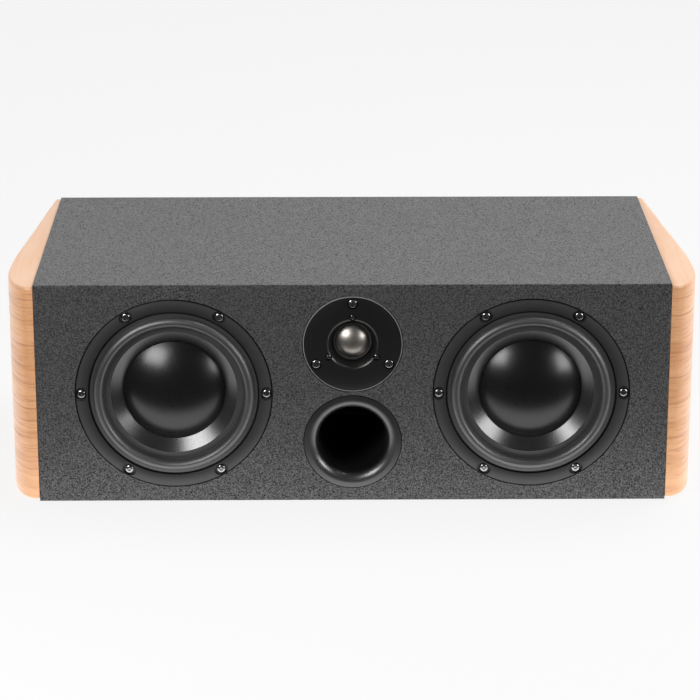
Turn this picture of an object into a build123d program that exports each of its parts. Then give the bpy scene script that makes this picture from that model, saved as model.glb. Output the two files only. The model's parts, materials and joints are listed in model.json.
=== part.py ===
# Center channel speaker: a panel cabinet with two woofers, a dome tweeter, a front port and wooden cheeks.
# Millimetres. X runs to the right, Y to the back, Z up. The origin is under the middle of the base.
import os
from math import asin, cos, radians, sin

from build123d import *

# Cabinet
box_width = 580.0
box_height = 209.0
box_depth = 305.0
panel = 18.0
baffle_thickness = 25.0
baffle_edge_round = 0.8
brace_thickness = 15.0
brace_offset = 71.5
brace_rim = 28.0
brace_window_round = 16.0

# Side cheeks
cheek_thickness = 27.5
cheek_front_land = 4.0
cheek_nose_depth = 60.0
cheek_shoulder_depth = 55.0
cheek_rear_thickness = 6.5
cheek_inset = 1.8
cheek_edge_round = 3.2
cheek_inner_chamfer = 0.8

# Fits
rim_gap = 0.8
screw_gap = 0.15
glue_gap = 0.05
running_gap = 0.3
hole_gap = 0.8

# Woofers, as radii and as depths behind the front face
woofer_offset = 164.0
woofer_radius = 90.0
woofer_flange = 5.0
woofer_gasket = 1.0
woofer_lip_radius = 78.4
basket_wall = 3.5
basket_rear_radius = 62.0
basket_ring_depth = 31.0
basket_depth = 40.0
basket_bore = 47.0
basket_spokes = 6
basket_window_arc = 42.0
basket_window_rim = 3.0
ledge_depth = 2.2
ledge_width = 4.4
surround_skin = 0.8
surround_groove = 1.4
surround_crest = -4.6
surround_outer_radius = 74.0
surround_inner_radius = 63.8
cone_rim_radius = 63.4
cone_mouth_radius = 58.3
cone_rim_depth = 5.3
cone_skin = 1.2
cone_drop_share = 0.64
cap_radius = 46.7
cap_apex_depth = -3.1
cap_skin = 0.8
coil_radius = 37.6
coil_former_wall = 0.4
coil_winding = 1.0
coil_front_depth = 14.0
coil_winding_start = 38.0
coil_winding_length = 12.0
coil_tail = 2.0
spider_skin = 0.6
spider_outer_radius = 59.0
spider_land = 4.0
spider_wave = 1.6
spider_folds = 5
magnet_gap = 1.0
woofer_plate = 6.0
woofer_plate_radius = 62.0
woofer_magnet_radius = 65.0
woofer_magnet_bore = 46.0
woofer_magnet_height = 16.0
woofer_yoke = 8.0
woofer_vent_radius = 9.0
woofer_bolt_radius = 84.9
woofer_pocket_reach = 1.9
woofer_travel = 5.0

# Tweeter
tweeter_radius = 45.5
tweeter_flange = 5.0
tweeter_hub_radius = 35.0
tweeter_hub_depth = 10.0
tweeter_mouth_radius = 22.7
tweeter_lip_round = 3.2
tweeter_throat_radius = 18.5
tweeter_dome_radius = 15.3
tweeter_dome_apex = 3.2
tweeter_dome_base = 9.6
tweeter_skin = 0.4
tweeter_gasket = 1.2
tweeter_gasket_width = 12.0
tweeter_coil_wall = 0.3
tweeter_coil_winding = 0.5
tweeter_coil_length = 8.0
tweeter_magnet_gap = 0.5
tweeter_plate = 4.0
tweeter_magnet_height = 10.0
tweeter_magnet_bore = 22.0
tweeter_yoke = 6.0
tweeter_vent_radius = 4.0
tweeter_bolt_radius = 38.4
tweeter_rim_bolt_radius = 25.4
tweeter_bolts = 3
tweeter_clearance = 4.0

# Port, which fills the height between its margin and the tweeter
port_margin = 12.7
port_tweeter_gap = 4.2
port_land = 3.6
port_flare = 9.5
port_wall = 2.5
port_seat = 3.5
port_length = 150.0

# Screws
woofer_head_radius = 4.0
woofer_head_height = 2.4
woofer_shank_radius = 2.0
woofer_screw_length = 22.0
tweeter_head_radius = 4.2
tweeter_head_height = 2.2
tweeter_shank_radius = 1.8
tweeter_screw_length = 20.0
rim_head_radius = 2.5
rim_head_height = 1.6
rim_shank_radius = 1.2
rim_screw_length = 13.0
rim_seat = 3.0
cup_head_radius = 3.2
cup_head_height = 1.8
cup_shank_radius = 1.5
cup_screw_length = 14.0
head_sink = 0.2
pocket_gap = 0.7
socket_share = 0.42
socket_depth_share = 0.6
head_round_share = 0.4

# Terminals
cup_height = 104.5
cup_width = 110.0
cup_tall = 80.0
cup_corner = 8.0
cup_flange = 3.0
cup_recess_width = 86.0
cup_recess_tall = 56.0
cup_recess_depth = 36.0
cup_wall = 2.5
cup_boss_radius = 8.5
cup_boss_height = 3.0
cup_screw_inset = 7.0
post_offset = 19.0
post_shaft_radius = 4.0
post_flange_radius = 6.5
post_flange = 2.0
post_length = 25.0
post_stud_radius = 3.0
post_stud_length = 12.0
banana_radius = 2.0
banana_depth = 18.0
collar_radius = 7.0
collar_height = 2.0
knob_radius = 7.5
knob_length = 17.0
knob_flutes = 12
knob_flute_radius = 1.0
knob_edge = 0.8
nut_flats = 10.0
nut_height = 5.0

# Crossover, on the floor of the cabinet behind the port
board_width = 108.0
board_length = 90.0
board_thickness = 1.6
board_middle = 58.0
board_corner = 5.0
spacer_height = 8.0
spacer_radius = 4.0
choke_radius = 18.0
choke_bore = 9.0
choke_height = 18.0
capacitor_radius = 8.0
capacitor_length = 34.0
resistor_width = 9.0
resistor_length = 40.0
lead_gap = 1.0

# Wiring: a terminal strip on each woofer, and leads that end on flat faces
terminal_width = 8.0
terminal_tall = 20.0
terminal_depth = 5.5
lead_radius = 1.6
lead_bend = 20.0
lead_row = 22.0
lead_spread = 42.0
tweeter_lead_offset = 10.0

# Damping pads on the rear panel
pad_width = 160.0
pad_tall = 150.0
pad_thickness = 38.0
pad_round = 8.0
pad_brace_gap = 5.0

front = -box_depth / 2
rear = box_depth / 2
inner_rear = rear - panel
inner_top = box_height - panel
baffle_back = front + baffle_thickness
woofer_middle = box_height / 2
woofers = {"left": (-woofer_offset, woofer_middle), "right": (woofer_offset, woofer_middle)}
tweeter_height = inner_top - tweeter_clearance - tweeter_hub_radius
tweeter = (0.0, tweeter_height)
port_radius = (tweeter_height - tweeter_radius - port_tweeter_gap - port_margin) / 2
port = (0.0, port_margin + port_radius)


def facing(depth):
    # a sketch plane that looks forward, with X to the right and Z up
    return Plane.XZ.offset(-depth)


def radial(centre, turn=0.0):
    # a half plane through a driver's axis: first the radius, then the depth behind the front face
    x, z = centre
    out = (cos(radians(turn)), 0, sin(radians(turn)))
    side = (-sin(radians(turn)), 0, cos(radians(turn)))
    return Plane(origin=(x, front, z), x_dir=out, z_dir=side)


def driver_axis(centre):
    return Axis((centre[0], front, centre[1]), (0, 1, 0))


def save(piece, name):
    piece.part.label = name
    export_step(piece.part, f"parts/{name}.step")


def turned(centre, outline, name):
    # a piece turned on a driver's axis from corners given as radius and depth
    with BuildPart() as piece:
        with BuildSketch(radial(centre)):
            with BuildLine():
                Polyline(*outline, close=True)
            make_face()
        revolve(axis=driver_axis(centre))
    save(piece, name)


def block(low, high):
    # a box between two corners, added to the open part
    size = [b - a for a, b in zip(low, high)]
    middle = tuple((a + b) / 2 for a, b in zip(low, high))
    with Locations(middle):
        Box(*size)


def around(centre, radius, count, first):
    # places on a bolt circle, as sketch coordinates on a plane that looks forward
    turns = [radians(first + 360 / count * i) for i in range(count)]
    return [(centre[0] + radius * cos(t), centre[1] + radius * sin(t)) for t in turns]


def bores(depth, places, radius, length):
    # holes that run back from a depth behind the front face
    with BuildSketch(facing(front + depth)) as mouths:
        with Locations(*places):
            Circle(radius)
    extrude(mouths.sketch, amount=-length, mode=Mode.SUBTRACT)


def screws(name, groups, head_radius, head_height, shank_radius, length, seat, outward=-1):
    # pan-head screws with a six-sided socket; groups are places, seat is the depth under the heads
    with BuildPart() as piece:
        with BuildSketch(facing(seat)):
            with Locations(*groups):
                Circle(head_radius)
        extrude(amount=-outward * head_height)
        outer = piece.edges().filter_by(GeomType.CIRCLE).group_by(Axis.Y)[0 if outward < 0 else -1]
        fillet(outer, head_height * head_round_share)
        with BuildSketch(facing(seat + outward * head_height)):
            with Locations(*groups):
                RegularPolygon(head_radius * socket_share, 6)
        extrude(amount=outward * head_height * socket_depth_share, mode=Mode.SUBTRACT)
        with BuildSketch(facing(seat)):
            with Locations(*groups):
                Circle(shank_radius)
        extrude(amount=outward * (length - head_height))
    save(piece, name)


def dome_outline(rim_radius, rim_depth, apex_depth, skin):
    # a spherical cap with an even skin, drawn in the open line of a radial sketch
    rise = rim_depth - apex_depth
    sphere = (rim_radius**2 + rise**2) / (2 * rise)
    spread = asin(rim_radius / sphere)

    def at(angle, radius):
        return (radius * sin(angle), apex_depth + sphere - radius * cos(angle))

    inner = sphere - skin
    ThreePointArc(at(0, sphere), at(spread / 2, sphere), at(spread, sphere))
    Line(at(spread, sphere), at(spread, inner))
    ThreePointArc(at(spread, inner), at(spread / 2, inner), at(0, inner))
    Line(at(0, inner), at(0, sphere))


def cone_depth(radius):
    # depth of the cone's front face at a radius
    return cone_rim_depth + (cone_mouth_radius - radius) * cone_drop_share


# Seats shared by the baffle and the drivers
woofer_seat = woofer_flange + woofer_gasket
woofer_hole_radius = woofer_lip_radius + hole_gap
woofer_pocket_radius = woofer_head_radius + pocket_gap
woofer_pocket = woofer_head_height + head_sink
tweeter_pocket_radius = tweeter_head_radius + pocket_gap
tweeter_pocket = tweeter_head_height + head_sink
rim_pocket_radius = rim_head_radius + pocket_gap
port_hole_radius = port_radius - port_seat + running_gap
woofer_bolts = {side: around(c, woofer_bolt_radius, basket_spokes, 0) for side, c in woofers.items()}
tweeter_bolt_places = around(tweeter, tweeter_bolt_radius, tweeter_bolts, 90)
tweeter_rim_places = around(tweeter, tweeter_rim_bolt_radius, tweeter_bolts, 90)


def make_baffle():
    with BuildPart() as baffle:
        block((-box_width / 2, front, 0), (box_width / 2, baffle_back, box_height))
        fillet(baffle.faces().sort_by(Axis.Y)[0].edges(), baffle_edge_round)
        for side, centre in woofers.items():
            bores(0, [centre], woofer_radius + rim_gap, woofer_seat)
            bores(0, [centre], woofer_hole_radius, baffle_thickness)
            bores(0, woofer_bolts[side], woofer_shank_radius + screw_gap, woofer_screw_length + head_sink)
        bores(0, [tweeter], tweeter_radius + rim_gap, tweeter_flange)
        bores(0, [tweeter], tweeter_hub_radius + hole_gap / 2, baffle_thickness)
        bores(0, tweeter_bolt_places, tweeter_shank_radius + screw_gap, tweeter_screw_length + head_sink)
        bores(0, [port], port_radius + rim_gap, port_wall)
        bores(0, [port], port_hole_radius, baffle_thickness)
    save(baffle, "front_baffle")


def make_panels():
    half = box_width / 2
    with BuildPart() as top:
        block((-half, baffle_back, inner_top), (half, rear, box_height))
    save(top, "top_panel")
    with BuildPart() as bottom:
        block((-half, baffle_back, 0), (half, rear, panel))
    save(bottom, "bottom_panel")
    for name, side in (("left", -1), ("right", 1)):
        edges = sorted((side * half, side * (half - panel)))
        with BuildPart() as wall:
            block((edges[0], baffle_back, panel), (edges[1], rear, inner_top))
        save(wall, f"side_panel_{name}")
        middle = side * brace_offset
        with BuildPart() as brace:
            block(
                (middle - brace_thickness / 2, baffle_back, panel),
                (middle + brace_thickness / 2, inner_rear, inner_top),
            )
            with BuildSketch(Plane.YZ.offset(middle)):
                with Locations(((baffle_back + inner_rear) / 2, box_height / 2)):
                    RectangleRounded(
                        inner_rear - baffle_back - 2 * brace_rim,
                        inner_top - panel - 2 * brace_rim,
                        brace_window_round,
                    )
            extrude(amount=brace_thickness, both=True, mode=Mode.SUBTRACT)
        save(brace, f"window_brace_{name}")
    with BuildPart() as back:
        block((-half + panel, inner_rear, panel), (half - panel, rear, inner_top))
        with BuildSketch(facing(rear)):
            with Locations((0, cup_height)):
                RectangleRounded(cup_width + rim_gap, cup_tall + rim_gap, cup_corner)
        extrude(amount=cup_flange, mode=Mode.SUBTRACT)
        with BuildSketch(facing(rear)):
            with Locations((0, cup_height)):
                RectangleRounded(
                    cup_recess_width + 2 * cup_wall + hole_gap,
                    cup_recess_tall + 2 * cup_wall + hole_gap,
                    cup_corner,
                )
        extrude(amount=panel, mode=Mode.SUBTRACT)
        with BuildSketch(facing(rear)):
            with Locations(*cup_screw_places):
                Circle(cup_shank_radius + screw_gap)
        extrude(amount=cup_screw_length + head_sink, mode=Mode.SUBTRACT)
    save(back, "rear_panel")


def make_cheeks():
    # seen from above: a rounded nose, a soft shoulder, then a long taper to the back
    fall = cheek_thickness - cheek_rear_thickness
    run = box_depth - cheek_nose_depth - cheek_shoulder_depth
    drop = fall / (1 + 2 * run / cheek_shoulder_depth)
    nose = front + cheek_nose_depth
    shoulder = nose + cheek_shoulder_depth
    edge_round = min(cheek_edge_round, 0.8 * cheek_rear_thickness)
    for name, side in (("left", -1), ("right", 1)):
        base = side * box_width / 2

        def at(thickness, depth):
            return (base + side * thickness, depth)

        with BuildPart() as cheek:
            with BuildSketch(Plane.XY.offset(cheek_inset)):
                with BuildLine():
                    Line(at(0, front), at(cheek_front_land, front))
                    EllipticalCenterArc(
                        at(cheek_front_land, nose),
                        cheek_thickness - cheek_front_land,
                        cheek_nose_depth,
                        start_angle=270 if side > 0 else 180,
                        arc_size=90,
                    )
                    TangentArc(at(cheek_thickness, nose), at(cheek_thickness - drop, shoulder), tangent=(0, 1))
                    Line(at(cheek_thickness - drop, shoulder), at(cheek_rear_thickness, rear))
                    Line(at(cheek_rear_thickness, rear), at(0, rear))
                    Line(at(0, rear), at(0, front))
                make_face()
            extrude(amount=box_height - 2 * cheek_inset)
            flat = cheek.edges().group_by(Axis.Z)
            outer = [e for e in flat[0] + flat[-1] if abs(e.center().X - base) > cheek_inner_chamfer]
            fillet([e for e in outer if e.center().Y < rear - 1], edge_round)
            inner = cheek.faces().sort_by(Axis.X)[-1 if side < 0 else 0].edges()
            chamfer([e for e in inner if e.center().Y < rear - 1], cheek_inner_chamfer)
        save(cheek, f"side_cheek_{name}")


def make_woofer(side, centre):
    rear_ring = basket_ring_depth
    ledge_radius = woofer_lip_radius - ledge_width
    wall_start = woofer_flange + 2 * basket_wall - ledge_depth
    slope = (woofer_lip_radius - basket_rear_radius) / (basket_depth - basket_wall * 1.7 - wall_start)
    shelf_radius = woofer_lip_radius - (rear_ring - wall_start) * slope - basket_wall
    with BuildPart() as frame:
        with BuildSketch(radial(centre)):
            with BuildLine():
                Polyline(
                    (woofer_lip_radius, 0),
                    (woofer_radius, 0),
                    (woofer_radius, woofer_flange),
                    (woofer_lip_radius, woofer_flange),
                    (woofer_lip_radius, wall_start),
                    (basket_rear_radius, basket_depth - basket_wall * 1.7),
                    (basket_rear_radius, basket_depth),
                    (basket_bore, basket_depth),
                    (basket_bore, rear_ring),
                    (shelf_radius, rear_ring),
                    (ledge_radius, wall_start + (woofer_lip_radius - basket_wall - ledge_radius) / slope),
                    (ledge_radius, ledge_depth),
                    (woofer_lip_radius, ledge_depth),
                    close=True,
                )
            make_face()
        revolve(axis=driver_axis(centre))
        first = wall_start + basket_window_rim
        last = rear_ring - basket_window_rim
        for spoke in range(basket_spokes):
            turn = 360 / basket_spokes * (spoke + 0.5) - basket_window_arc / 2
            with BuildSketch(radial(centre, turn)):
                with Locations((woofer_lip_radius, (first + last) / 2)):
                    Rectangle(2 * (woofer_lip_radius - basket_bore), last - first)
            revolve(axis=driver_axis(centre), revolution_arc=-basket_window_arc, mode=Mode.SUBTRACT)
        with BuildSketch(facing(front)) as pockets:
            with Locations(centre):
                with PolarLocations(woofer_bolt_radius, basket_spokes):
                    SlotCenterToCenter(2 * woofer_pocket_reach, 2 * woofer_pocket_radius, rotation=90)
        extrude(pockets.sketch, amount=-woofer_pocket, mode=Mode.SUBTRACT)
        bores(0, woofer_bolts[side], woofer_shank_radius + screw_gap, woofer_flange)
    save(frame, f"woofer_{side}_frame")

    land = ledge_depth - surround_skin
    glue = cone_rim_depth - surround_skin
    middle = (surround_outer_radius + surround_inner_radius) / 2
    half = (surround_outer_radius - surround_inner_radius) / 2
    outer_edge = woofer_lip_radius - surround_groove
    with BuildPart() as surround:
        with BuildSketch(radial(centre)):
            with BuildLine():
                Line((outer_edge, land), (surround_outer_radius, land))
                EllipticalCenterArc((middle, land), half, land - surround_crest, start_angle=270, arc_size=90)
                EllipticalCenterArc((middle, glue), half, glue - surround_crest, start_angle=180, arc_size=90)
                Polyline(
                    (surround_inner_radius, glue),
                    (cone_mouth_radius, glue),
                    (cone_mouth_radius, cone_rim_depth),
                    (surround_inner_radius + surround_skin, cone_rim_depth),
                )
                for seat in (cone_rim_depth, ledge_depth):
                    EllipticalCenterArc(
                        (middle, seat),
                        half - surround_skin,
                        seat - surround_crest - surround_skin,
                        start_angle=180 if seat == cone_rim_depth else 270,
                        arc_size=90,
                    )
                Polyline(
                    (surround_outer_radius - surround_skin, ledge_depth),
                    (outer_edge, ledge_depth),
                    (outer_edge, land),
                )
            make_face()
        revolve(axis=driver_axis(centre))
    save(surround, f"woofer_{side}_surround")

    neck = coil_radius + glue_gap
    skin = cone_skin * (1 + cone_drop_share**2) ** 0.5
    turned(
        centre,
        [
            (cone_rim_radius, cone_rim_depth),
            (cone_mouth_radius, cone_rim_depth),
            (neck, cone_depth(neck)),
            (neck, cone_depth(neck) + skin),
            (cone_mouth_radius, cone_rim_depth + skin),
            (cone_rim_radius, cone_rim_depth + skin),
        ],
        f"woofer_{side}_cone",
    )

    with BuildPart() as cap:
        with BuildSketch(radial(centre)):
            with BuildLine():
                dome_outline(cap_radius, cone_depth(cap_radius) - cap_skin, cap_apex_depth, cap_skin)
            make_face()
        revolve(axis=driver_axis(centre))
    save(cap, f"woofer_{side}_dust_cap")

    inner_edge = coil_radius + running_gap
    fold = (spider_outer_radius - 2 * spider_land - inner_edge) / spider_folds
    front_line = [(spider_outer_radius, rear_ring - spider_skin)]
    for i in range(spider_folds + 1):
        lift = spider_wave if i % 2 else 0
        radius = spider_outer_radius - spider_land - i * fold
        front_line.append((radius, rear_ring - spider_skin - lift))
    front_line.append((inner_edge, front_line[-1][1]))
    back_line = [(r, d + spider_skin) for r, d in reversed(front_line)]
    turned(centre, front_line + back_line, f"woofer_{side}_spider")

    inside = coil_radius - coil_former_wall
    wound = coil_radius + coil_winding
    wound_end = coil_winding_start + coil_winding_length
    turned(
        centre,
        [
            (inside, coil_front_depth),
            (coil_radius, coil_front_depth),
            (coil_radius, coil_winding_start),
            (wound, coil_winding_start),
            (wound, wound_end),
            (coil_radius, wound_end),
            (coil_radius, wound_end + coil_tail),
            (inside, wound_end + coil_tail),
        ],
        f"woofer_{side}_voice_coil",
    )

    plate_back = basket_depth + woofer_plate
    magnet_back = plate_back + woofer_magnet_height
    plate_bore = wound + magnet_gap
    pole = inside - magnet_gap
    turned(
        centre,
        [
            (plate_bore, basket_depth),
            (woofer_plate_radius, basket_depth),
            (woofer_plate_radius, plate_back),
            (plate_bore, plate_back),
        ],
        f"woofer_{side}_top_plate",
    )
    turned(
        centre,
        [
            (woofer_magnet_bore, plate_back),
            (woofer_magnet_radius, plate_back),
            (woofer_magnet_radius, magnet_back),
            (woofer_magnet_bore, magnet_back),
        ],
        f"woofer_{side}_magnet",
    )
    turned(
        centre,
        [
            (woofer_vent_radius, basket_depth),
            (pole, basket_depth),
            (pole, magnet_back),
            (woofer_plate_radius, magnet_back),
            (woofer_plate_radius, magnet_back + woofer_yoke),
            (woofer_vent_radius, magnet_back + woofer_yoke),
        ],
        f"woofer_{side}_yoke",
    )


def make_woofer_fixings():
    with BuildPart() as gaskets:
        with BuildSketch(facing(front + woofer_flange)):
            with Locations(*woofers.values()):
                Circle(woofer_radius)
                Circle(woofer_hole_radius, mode=Mode.SUBTRACT)
            with Locations(*woofer_bolts["left"], *woofer_bolts["right"]):
                Circle(woofer_shank_radius + screw_gap, mode=Mode.SUBTRACT)
        extrude(amount=-woofer_gasket)
    save(gaskets, "woofer_gaskets")
    screws(
        "woofer_screws",
        woofer_bolts["left"] + woofer_bolts["right"],
        woofer_head_radius,
        woofer_head_height,
        woofer_shank_radius,
        woofer_screw_length,
        front + woofer_pocket,
    )


def make_tweeter():
    hub = tweeter_hub_radius
    depth = tweeter_hub_depth
    with BuildPart() as plate:
        with BuildSketch(radial(tweeter)):
            with BuildLine():
                Polyline(
                    (tweeter_mouth_radius, 0),
                    (tweeter_radius, 0),
                    (tweeter_radius, tweeter_flange),
                    (hub, tweeter_flange),
                    (hub, depth),
                    (tweeter_throat_radius, depth),
                    (tweeter_throat_radius, depth - tweeter_skin),
                    close=True,
                )
            section = make_face()
            fillet(section.vertices().sort_by_distance((tweeter_mouth_radius, 0))[0], tweeter_lip_round)
        revolve(axis=driver_axis(tweeter))
        bores(0, tweeter_bolt_places, tweeter_pocket_radius, tweeter_pocket)
        bores(0, tweeter_bolt_places, tweeter_shank_radius + screw_gap, tweeter_flange)
        bores(0, tweeter_rim_places, rim_pocket_radius, rim_seat)
        bores(0, tweeter_rim_places, rim_shank_radius + screw_gap, depth)
    save(plate, "tweeter_faceplate")
    screws(
        "tweeter_mounting_screws",
        tweeter_bolt_places,
        tweeter_head_radius,
        tweeter_head_height,
        tweeter_shank_radius,
        tweeter_screw_length,
        front + tweeter_pocket,
    )
    screws(
        "tweeter_rim_screws",
        tweeter_rim_places,
        rim_head_radius,
        rim_head_height,
        rim_shank_radius,
        rim_screw_length,
        front + rim_seat,
    )

    plate_front = depth + tweeter_gasket
    plate_back = plate_front + tweeter_plate
    magnet_back = plate_back + tweeter_magnet_height
    gasket_bore = hub - tweeter_gasket_width
    with BuildPart() as gasket:
        with BuildSketch(facing(front + depth)):
            with Locations(tweeter):
                Circle(hub)
                Circle(gasket_bore, mode=Mode.SUBTRACT)
            with Locations(*tweeter_rim_places):
                Circle(rim_shank_radius + screw_gap, mode=Mode.SUBTRACT)
        extrude(amount=-tweeter_gasket)
    save(gasket, "tweeter_gasket")

    with BuildPart() as dome:
        with BuildSketch(radial(tweeter)):
            with BuildLine():
                dome_outline(tweeter_dome_radius, tweeter_dome_base, tweeter_dome_apex, tweeter_skin)
            make_face()
        revolve(axis=driver_axis(tweeter))
    save(dome, "tweeter_dome")

    former = tweeter_dome_radius - glue_gap
    wound = former + tweeter_coil_winding
    inside = former - tweeter_coil_wall
    coil_front = tweeter_dome_base + tweeter_skin
    coil_back = coil_front + tweeter_coil_length
    turned(
        tweeter,
        [
            (inside, coil_front),
            (former, coil_front),
            (former, plate_front),
            (wound, plate_front),
            (wound, coil_back),
            (inside, coil_back),
        ],
        "tweeter_voice_coil",
    )

    skin = tweeter_skin
    seat = plate_front - skin
    roll_inner = tweeter_dome_radius + running_gap
    roll_outer = tweeter_throat_radius
    roll_edge = gasket_bore - glue_gap
    crest = depth - skin - running_gap
    with BuildPart() as surround:
        with BuildSketch(radial(tweeter)):
            with BuildLine():
                Line((roll_edge, seat), (roll_outer, seat))
                ThreePointArc((roll_outer, seat), ((roll_outer + roll_inner) / 2, crest), (roll_inner, seat))
                Line((roll_inner, seat), (roll_inner, plate_front))
                Line((roll_inner, plate_front), (roll_inner + skin, plate_front))
                ThreePointArc(
                    (roll_inner + skin, plate_front),
                    ((roll_outer + roll_inner) / 2, crest + skin),
                    (roll_outer - skin, plate_front),
                )
                Line((roll_outer - skin, plate_front), (roll_edge, plate_front))
                Line((roll_edge, plate_front), (roll_edge, seat))
            make_face()
        revolve(axis=driver_axis(tweeter))
    save(surround, "tweeter_surround")

    with BuildPart() as top_plate:
        with BuildSketch(facing(front + plate_front)):
            with Locations(tweeter):
                Circle(hub)
                Circle(wound + tweeter_magnet_gap, mode=Mode.SUBTRACT)
            with Locations(*tweeter_rim_places):
                Circle(rim_shank_radius + screw_gap, mode=Mode.SUBTRACT)
        extrude(amount=-tweeter_plate)
    save(top_plate, "tweeter_top_plate")
    turned(
        tweeter,
        [
            (tweeter_magnet_bore, plate_back),
            (hub, plate_back),
            (hub, magnet_back),
            (tweeter_magnet_bore, magnet_back),
        ],
        "tweeter_magnet",
    )
    pole = inside - tweeter_magnet_gap
    turned(
        tweeter,
        [
            (tweeter_vent_radius, plate_front),
            (pole, plate_front),
            (pole, magnet_back),
            (hub, magnet_back),
            (hub, magnet_back + tweeter_yoke),
            (tweeter_vent_radius, magnet_back + tweeter_yoke),
        ],
        "tweeter_yoke",
    )


def make_port():
    mouth = port_radius - port_land
    throat = mouth - port_flare
    outer = throat + port_wall
    inner_curve = port_flare * (1 - cos(radians(45)))
    outer_flare = port_radius - port_seat - outer
    outer_curve = outer_flare * (1 - cos(radians(45)))
    with BuildPart() as tube:
        with BuildSketch(radial(port)):
            with BuildLine():
                Line((port_radius, 0), (mouth, 0))
                ThreePointArc((mouth, 0), (throat + inner_curve, inner_curve), (throat, port_flare))
                Polyline(
                    (throat, port_flare),
                    (throat, port_length),
                    (outer, port_length),
                    (outer, port_wall + outer_flare),
                )
                ThreePointArc(
                    (outer, port_wall + outer_flare),
                    (outer + outer_curve, port_wall + outer_curve),
                    (port_radius - port_seat, port_wall),
                )
                Polyline((port_radius - port_seat, port_wall), (port_radius, port_wall), (port_radius, 0))
            make_face()
        revolve(axis=driver_axis(port))
    save(tube, "port_tube")


# Terminal places: the cup's screws, the posts, and the depth of the cup's floor
cup_screw_places = [
    (sx * (cup_width / 2 - cup_screw_inset), cup_height + sz * (cup_tall / 2 - cup_screw_inset))
    for sx in (-1, 1)
    for sz in (-1, 1)
]
post_places = {"red": post_offset, "black": -post_offset}
cup_floor = rear - cup_recess_depth
post_base = cup_floor + cup_boss_height
collar_base = post_base + post_flange + running_gap
knob_base = collar_base + collar_height + running_gap
post_bore_radius = post_shaft_radius + glue_gap


def make_terminals():
    with BuildPart() as cup:
        with BuildSketch(facing(rear)):
            with Locations((0, cup_height)):
                RectangleRounded(cup_width, cup_tall, cup_corner)
        extrude(amount=cup_flange)
        with BuildSketch(facing(rear)):
            with Locations((0, cup_height)):
                RectangleRounded(cup_recess_width + 2 * cup_wall, cup_recess_tall + 2 * cup_wall, cup_corner)
        extrude(amount=cup_recess_depth + cup_wall)
        with BuildSketch(facing(rear)):
            with Locations((0, cup_height)):
                RectangleRounded(cup_recess_width, cup_recess_tall, cup_corner - cup_wall)
        extrude(amount=cup_recess_depth, mode=Mode.SUBTRACT)
        with BuildSketch(facing(post_base)):
            with Locations(*[(x, cup_height) for x in post_places.values()]):
                Circle(cup_boss_radius)
        extrude(amount=cup_boss_height)
        with BuildSketch(facing(post_base)):
            with Locations(*[(x, cup_height) for x in post_places.values()]):
                Circle(post_stud_radius + screw_gap)
        extrude(amount=cup_boss_height + cup_wall, mode=Mode.SUBTRACT)
        with BuildSketch(facing(rear)):
            with Locations(*cup_screw_places):
                Circle(cup_head_radius + screw_gap)
        extrude(amount=cup_head_height + head_sink, mode=Mode.SUBTRACT)
        with BuildSketch(facing(rear)):
            with Locations(*cup_screw_places):
                Circle(cup_shank_radius + screw_gap)
        extrude(amount=cup_flange, mode=Mode.SUBTRACT)
    save(cup, "terminal_cup")
    screws(
        "terminal_cup_screws",
        cup_screw_places,
        cup_head_radius,
        cup_head_height,
        cup_shank_radius,
        cup_screw_length,
        rear - cup_head_height - head_sink,
        outward=1,
    )
    post_end = post_base + post_flange + post_length
    stud_end = cup_floor - cup_wall - post_stud_length
    for name, x in post_places.items():
        centre = (x, cup_height)

        def disc(start, radius, length, mode=Mode.ADD):
            with BuildSketch(facing(start)) as face:
                with Locations(centre):
                    Circle(radius)
            extrude(face.sketch, amount=-length, mode=mode)

        with BuildPart() as post:
            disc(stud_end, post_stud_radius, post_base - stud_end)
            disc(post_base, post_flange_radius, post_flange)
            disc(post_base + post_flange, post_shaft_radius, post_length)
            disc(post_end - banana_depth, banana_radius, banana_depth, Mode.SUBTRACT)
        save(post, f"binding_post_{name}")
        with BuildPart() as collar:
            disc(collar_base, collar_radius, collar_height)
            disc(collar_base, post_bore_radius, collar_height, Mode.SUBTRACT)
        save(collar, f"post_collar_{name}")
        with BuildPart() as knob:
            disc(knob_base, knob_radius, knob_length)
            chamfer(knob.edges().filter_by(GeomType.CIRCLE), knob_edge)
            with BuildSketch(facing(knob_base)):
                with Locations(*around(centre, knob_radius, knob_flutes, 0)):
                    Circle(knob_flute_radius)
            extrude(amount=-knob_length, mode=Mode.SUBTRACT)
            disc(knob_base, post_bore_radius, knob_length, Mode.SUBTRACT)
        save(knob, f"post_knob_{name}")
    with BuildPart() as nuts:
        with BuildSketch(facing(cup_floor - cup_wall)):
            with Locations(*[(x, cup_height) for x in post_places.values()]):
                RegularPolygon(nut_flats / 2, 6, major_radius=False)
                Circle(post_stud_radius + glue_gap, mode=Mode.SUBTRACT)
        extrude(amount=nut_height)
    save(nuts, "post_nuts")


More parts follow.
